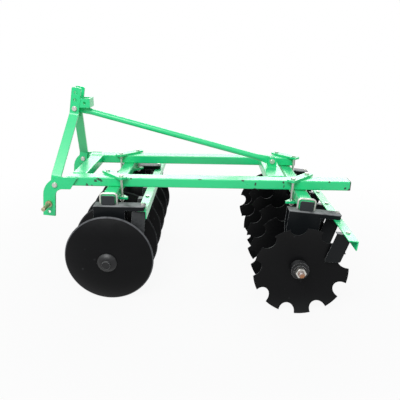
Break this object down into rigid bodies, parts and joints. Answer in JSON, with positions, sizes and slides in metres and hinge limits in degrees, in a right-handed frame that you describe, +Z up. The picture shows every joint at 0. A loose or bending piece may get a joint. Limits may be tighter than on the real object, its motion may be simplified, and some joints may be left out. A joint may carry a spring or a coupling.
{
  "type": "mounted offset disc harrow",
  "caption": "Two gangs of dished discs, plain in front and notched behind, under a rectangular tube frame with a three-point hitch, braced mast, scrapers and square-shaft axles.",
  "frame": {"origin": "on the floor under the centre of the overall size, the machine standing on its discs", "axes": "+X to the rear of the machine, +Y to its right side, +Z up"},
  "size_m": [1.648, 1.38, 1.0481],
  "materials": {
    "green_paint": "bright spring green gloss enamel, chipped along edges",
    "black_discs": "glossy black paint with a bare bevelled rim",
    "black_plate": "semi-gloss black paint",
    "black_castings": "black painted castings",
    "dark_steel": "black painted steel",
    "zinc_bolts": "bright zinc",
    "yellow_zinc": "yellow passivated zinc",
    "black_plastic": "black moulded plastic"
  },
  "bodies": {
    "frame": {"arm_bolts": "zinc_bolts", "beam_caps": "black_plastic", "brace": "green_paint", "brace_ears": "green_paint", "clamp_bolts": "zinc_bolts", "clamp_low_bars": "green_paint", "clamp_top_bars": "green_paint", "frame_tube_left": "green_paint", "frame_tube_right": "green_paint", "front_beam": "green_paint", "front_bearing_left": "black_castings", "front_bearing_right": "black_castings", "front_cross_tube": "green_paint", "front_hanger_left": "black_plate", "front_hanger_right": "black_plate", "front_scraper_bar": "green_paint", "front_scrapers": "black_plate", "hitch_plate_left": "green_paint", "hitch_plate_right": "green_paint", "lower_pin_left": "yellow_zinc", "lower_pin_right": "yellow_zinc", "mast_bar_left": "green_paint", "mast_bar_right": "green_paint", "mast_bolts": "zinc_bolts", "mast_bracket": "green_paint", "mast_spacer": "green_paint", "rear_beam": "green_paint", "rear_bearing_left": "black_castings", "rear_bearing_right": "black_castings", "rear_cross_member": "green_paint", "rear_hanger_left": "black_plate", "rear_hanger_right": "black_plate", "rear_scraper_bar": "green_paint", "rear_scrapers": "black_plate", "tube_caps": "black_plastic", "u_bolts": "zinc_bolts"},
    "front_gang": {"front_disc_1": "black_discs", "front_disc_2": "black_discs", "front_disc_3": "black_discs", "front_disc_4": "black_discs", "front_disc_5": "black_discs", "front_disc_6": "black_discs", "front_end_washers": "dark_steel", "front_nut": "zinc_bolts", "front_shaft": "dark_steel", "front_spools": "black_castings"},
    "rear_gang": {"rear_disc_1": "black_discs", "rear_disc_2": "black_discs", "rear_disc_3": "black_discs", "rear_disc_4": "black_discs", "rear_disc_5": "black_discs", "rear_disc_6": "black_discs", "rear_end_washers": "dark_steel", "rear_nut": "zinc_bolts", "rear_shaft": "dark_steel", "rear_spools": "black_castings"}
  },
  "joints": [
    {"name": "front_gang_spin", "type": "hinge", "parent": "frame", "child": "front_gang", "pos_m": [-0.427, 0.04, 0.23], "axis": [0, 1, 0], "continuous": true},
    {"name": "rear_gang_spin", "type": "hinge", "parent": "frame", "child": "rear_gang", "pos_m": [0.53142, 0.04, 0.23], "axis": [0, 1, 0], "continuous": true}
  ]
}
